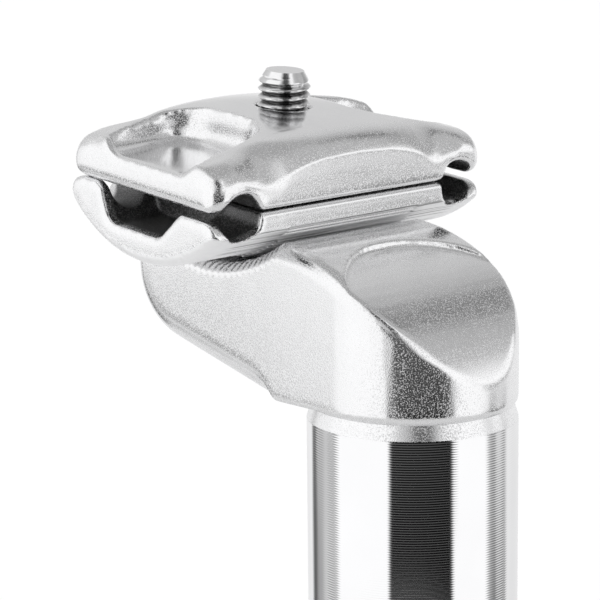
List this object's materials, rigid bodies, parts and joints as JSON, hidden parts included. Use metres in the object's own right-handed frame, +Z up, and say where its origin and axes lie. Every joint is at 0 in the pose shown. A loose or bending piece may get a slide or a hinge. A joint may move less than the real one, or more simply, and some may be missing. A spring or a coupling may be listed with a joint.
{
  "type": "bicycle seatpost",
  "caption": "Setback bicycle seatpost: forged head and tube in one piece, with a serrated half-moon clamp and a bolt from below that grips the saddle rails.",
  "frame": {"origin": "centre of the tube's open bottom end", "axes": "+Z up along the tube, +X towards the handlebar, +Y to the rider's left"},
  "size_m": [0.061, 0.055, 0.3664],
  "materials": {
    "polished_aluminium": "polished, with a fine sanded grain on the head",
    "bright_steel": "bright"
  },
  "bodies": {
    "post": {"seatpost_body": "polished_aluminium"},
    "cradle": {"lower_clamp": "polished_aluminium", "bolt_washer": "bright_steel"},
    "bolt": {"clamp_bolt": "bright_steel"},
    "top_clamp": {"upper_clamp": "polished_aluminium"}
  },
  "joints": [
    {"name": "clamp_tilt", "type": "hinge", "parent": "post", "child": "cradle", "pos_m": [-0.02671, 0, 0.36344], "axis": [0, 1, 0], "range_deg": [-8, 9]},
    {"name": "bolt_turn", "type": "hinge", "parent": "cradle", "child": "bolt", "pos_m": [-0.028, 0, 0.35], "axis": [-0.0958, 0, -0.9954], "range_deg": [0, 1728]},
    {"name": "clamp_lift", "type": "slide", "parent": "cradle", "child": "top_clamp", "axis": [0.0958, 0, 0.9954], "range_m": [0, 0.00601]}
  ],
  "couplings": [
    {"joint": "clamp_lift", "follows": "bolt_turn", "m_per_rad": 0.00019894}
  ]
}
